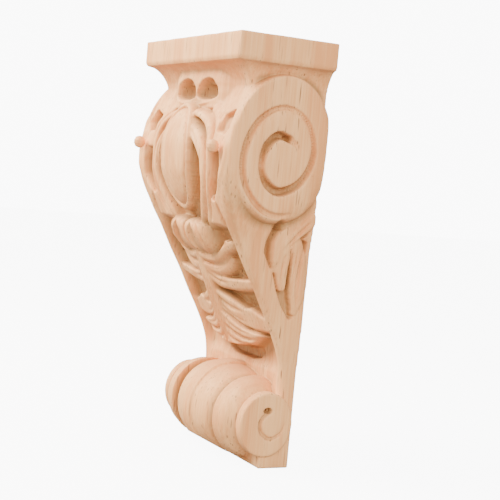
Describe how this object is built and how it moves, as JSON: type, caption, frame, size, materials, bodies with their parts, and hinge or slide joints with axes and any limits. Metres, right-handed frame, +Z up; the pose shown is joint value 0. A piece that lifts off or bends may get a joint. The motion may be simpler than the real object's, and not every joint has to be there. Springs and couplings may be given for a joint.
{
  "type": "wooden corbel bracket",
  "caption": "Carved wooden corbel bracket with side volutes, leaf relief and a scrolled foot, fixed flat to a wall to carry a shelf, mantel or beam end.",
  "frame": {"origin": "middle of the flat back face, where the corbel meets the wall", "axes": "+Z up, +Y into the wall, the carved front faces -Y, +X to the right seen from the front"},
  "size_m": [0.198, 0.1023, 0.356],
  "materials": {
    "wood": "bare sanded, unfinished pale close-grained hardwood"
  },
  "bodies": {
    "root": {"corbel": "wood"}
  },
  "joints": []
}
